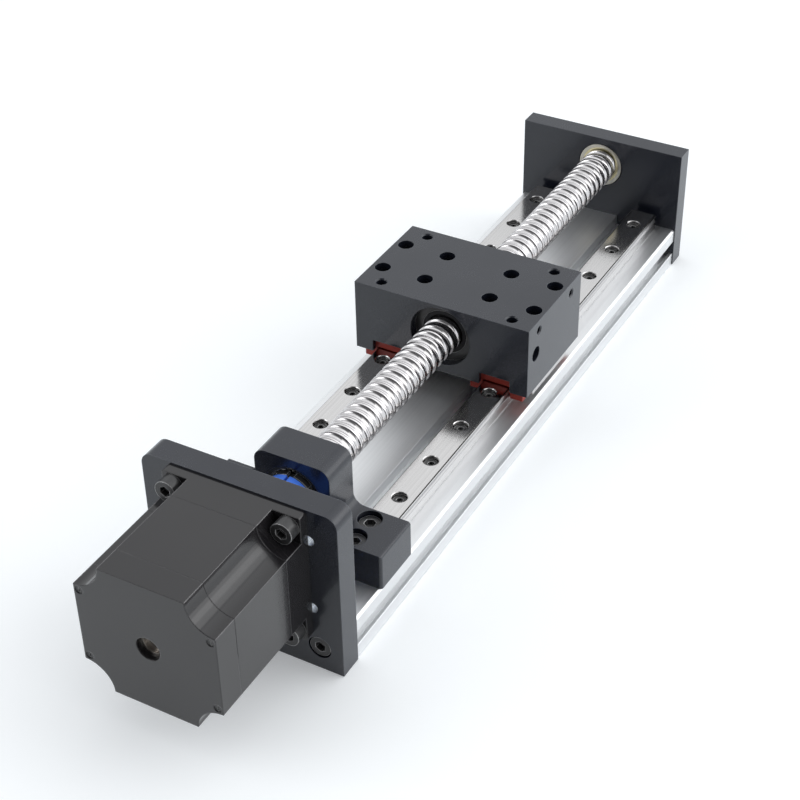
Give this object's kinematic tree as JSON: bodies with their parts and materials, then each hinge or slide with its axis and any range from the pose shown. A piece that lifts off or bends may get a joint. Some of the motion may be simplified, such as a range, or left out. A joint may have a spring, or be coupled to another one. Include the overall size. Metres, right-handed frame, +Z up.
{
  "type": "ball screw linear module",
  "caption": "Linear stage with a carriage on two profile rails, driven along a flat base by a ball screw, a jaw coupling and a square stepper motor.",
  "frame": {"origin": "on the floor at mid width, at the motor end of the base extrusion, where it meets the motor plate", "axes": "+X along the travel from the motor to the tail plate, +Y to the left, +Z up"},
  "size_m": [0.375, 0.08, 0.073],
  "materials": {
    "clear_anodised": "satin, clear anodised extrusion",
    "black_anodised": "satin, black anodised after milling",
    "motor_black": "satin dark grey",
    "motor_stack": "laminated steel, satin dark grey",
    "ground_steel": "ground",
    "bearing_steel": "ground bearing steel with a bronze tint",
    "bright_steel": "rolled and polished",
    "yellow_shield": "yellow passivated",
    "black_oxide": "black oxide",
    "blue_anodised": "satin, blue anodised",
    "black_rubber": "matte",
    "black_plastic": "matte",
    "red_plastic": "matte"
  },
  "bodies": {
    "frame": {"base_extrusion": "clear_anodised", "rail_left": "ground_steel", "rail_right": "ground_steel", "rail_screws": "black_oxide", "motor_plate": "black_anodised", "motor_plate_screws": "black_oxide", "support_block": "black_anodised", "support_screws": "black_oxide", "support_bearing_outers": "ground_steel", "support_snap_ring": "black_oxide", "tail_plate": "black_anodised", "tail_plate_screws": "black_oxide", "tail_bearing_outer": "bearing_steel", "tail_bearing_shield": "yellow_shield", "motor_front_cap": "motor_black", "motor_stator": "motor_stack", "motor_rear_cap": "motor_black", "motor_case_screws": "black_oxide", "motor_mount_screws": "black_oxide", "motor_bearing_outers": "ground_steel", "lead_grommet": "black_rubber"},
    "screw": {"ball_screw": "bright_steel", "bearing_spacer": "ground_steel", "support_bearing_inners": "bright_steel", "support_bearing_balls": "bright_steel", "lock_nut": "black_oxide", "tail_bearing_inner": "bright_steel", "tail_bearing_balls": "bright_steel", "tail_retaining_ring": "black_oxide", "coupling_hub_screw": "blue_anodised", "coupling_spider": "black_rubber", "coupling_hub_motor": "blue_anodised", "coupling_clamp_screws": "black_oxide", "motor_shaft": "bright_steel", "motor_rotor": "ground_steel", "motor_bearing_inners": "bright_steel", "motor_bearing_balls": "bright_steel"},
    "carriage": {"carriage_block": "black_anodised", "carriage_screws": "black_oxide", "ball_nut": "ground_steel", "nut_wipers": "black_plastic", "nut_grip_screws": "black_oxide", "slider_block_left": "ground_steel", "slider_block_right": "ground_steel", "slider_caps_left": "red_plastic", "slider_caps_right": "red_plastic", "slider_cap_screws": "black_oxide"}
  },
  "joints": [
    {"name": "screw_spin", "type": "hinge", "parent": "frame", "child": "screw", "pos_m": [0, 0, 0.044], "axis": [1, 0, 0], "range_deg": [-7712, 6632]},
    {"name": "carriage_slide", "type": "slide", "parent": "frame", "child": "carriage", "axis": [1, 0, 0], "range_m": [-0.092, 0.107]}
  ],
  "couplings": [
    {"joint": "screw_spin", "follows": "carriage_slide", "rad_per_m": -1256.6}
  ]
}
